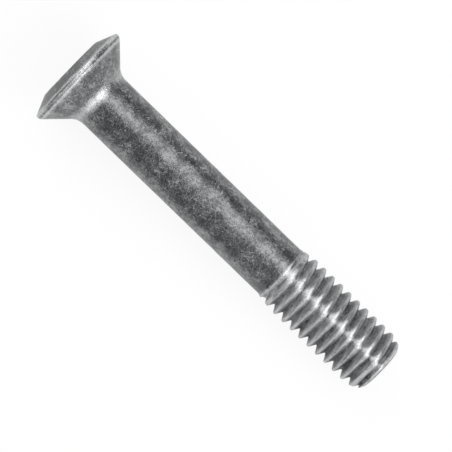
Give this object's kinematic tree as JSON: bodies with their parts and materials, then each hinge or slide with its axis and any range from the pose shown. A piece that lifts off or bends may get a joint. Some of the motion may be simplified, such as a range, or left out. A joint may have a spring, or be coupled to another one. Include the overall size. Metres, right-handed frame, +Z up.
{
  "type": "countersunk machine screw",
  "caption": "Steel countersunk machine screw with a bevelled flat-topped head, a hex socket, a plain shank and a rolled right-hand thread with a chamfered tip.",
  "frame": {"origin": "on the surface the screw lies on, below the middle of its bounding box", "axes": "+X from the head towards the tip along the surface, +Z up; the screw lies on its side, on the rim of the head and the last full crests of the thread, so its own axis dips 3.3 degrees towards the tip"},
  "size_m": [0.0588, 0.0156, 0.0156],
  "materials": {
    "steel": "dull mottled grey steel with fine pale frosting, bright along the thread's crests and the head's edge"
  },
  "bodies": {
    "root": {"screw": "steel"}
  },
  "joints": []
}
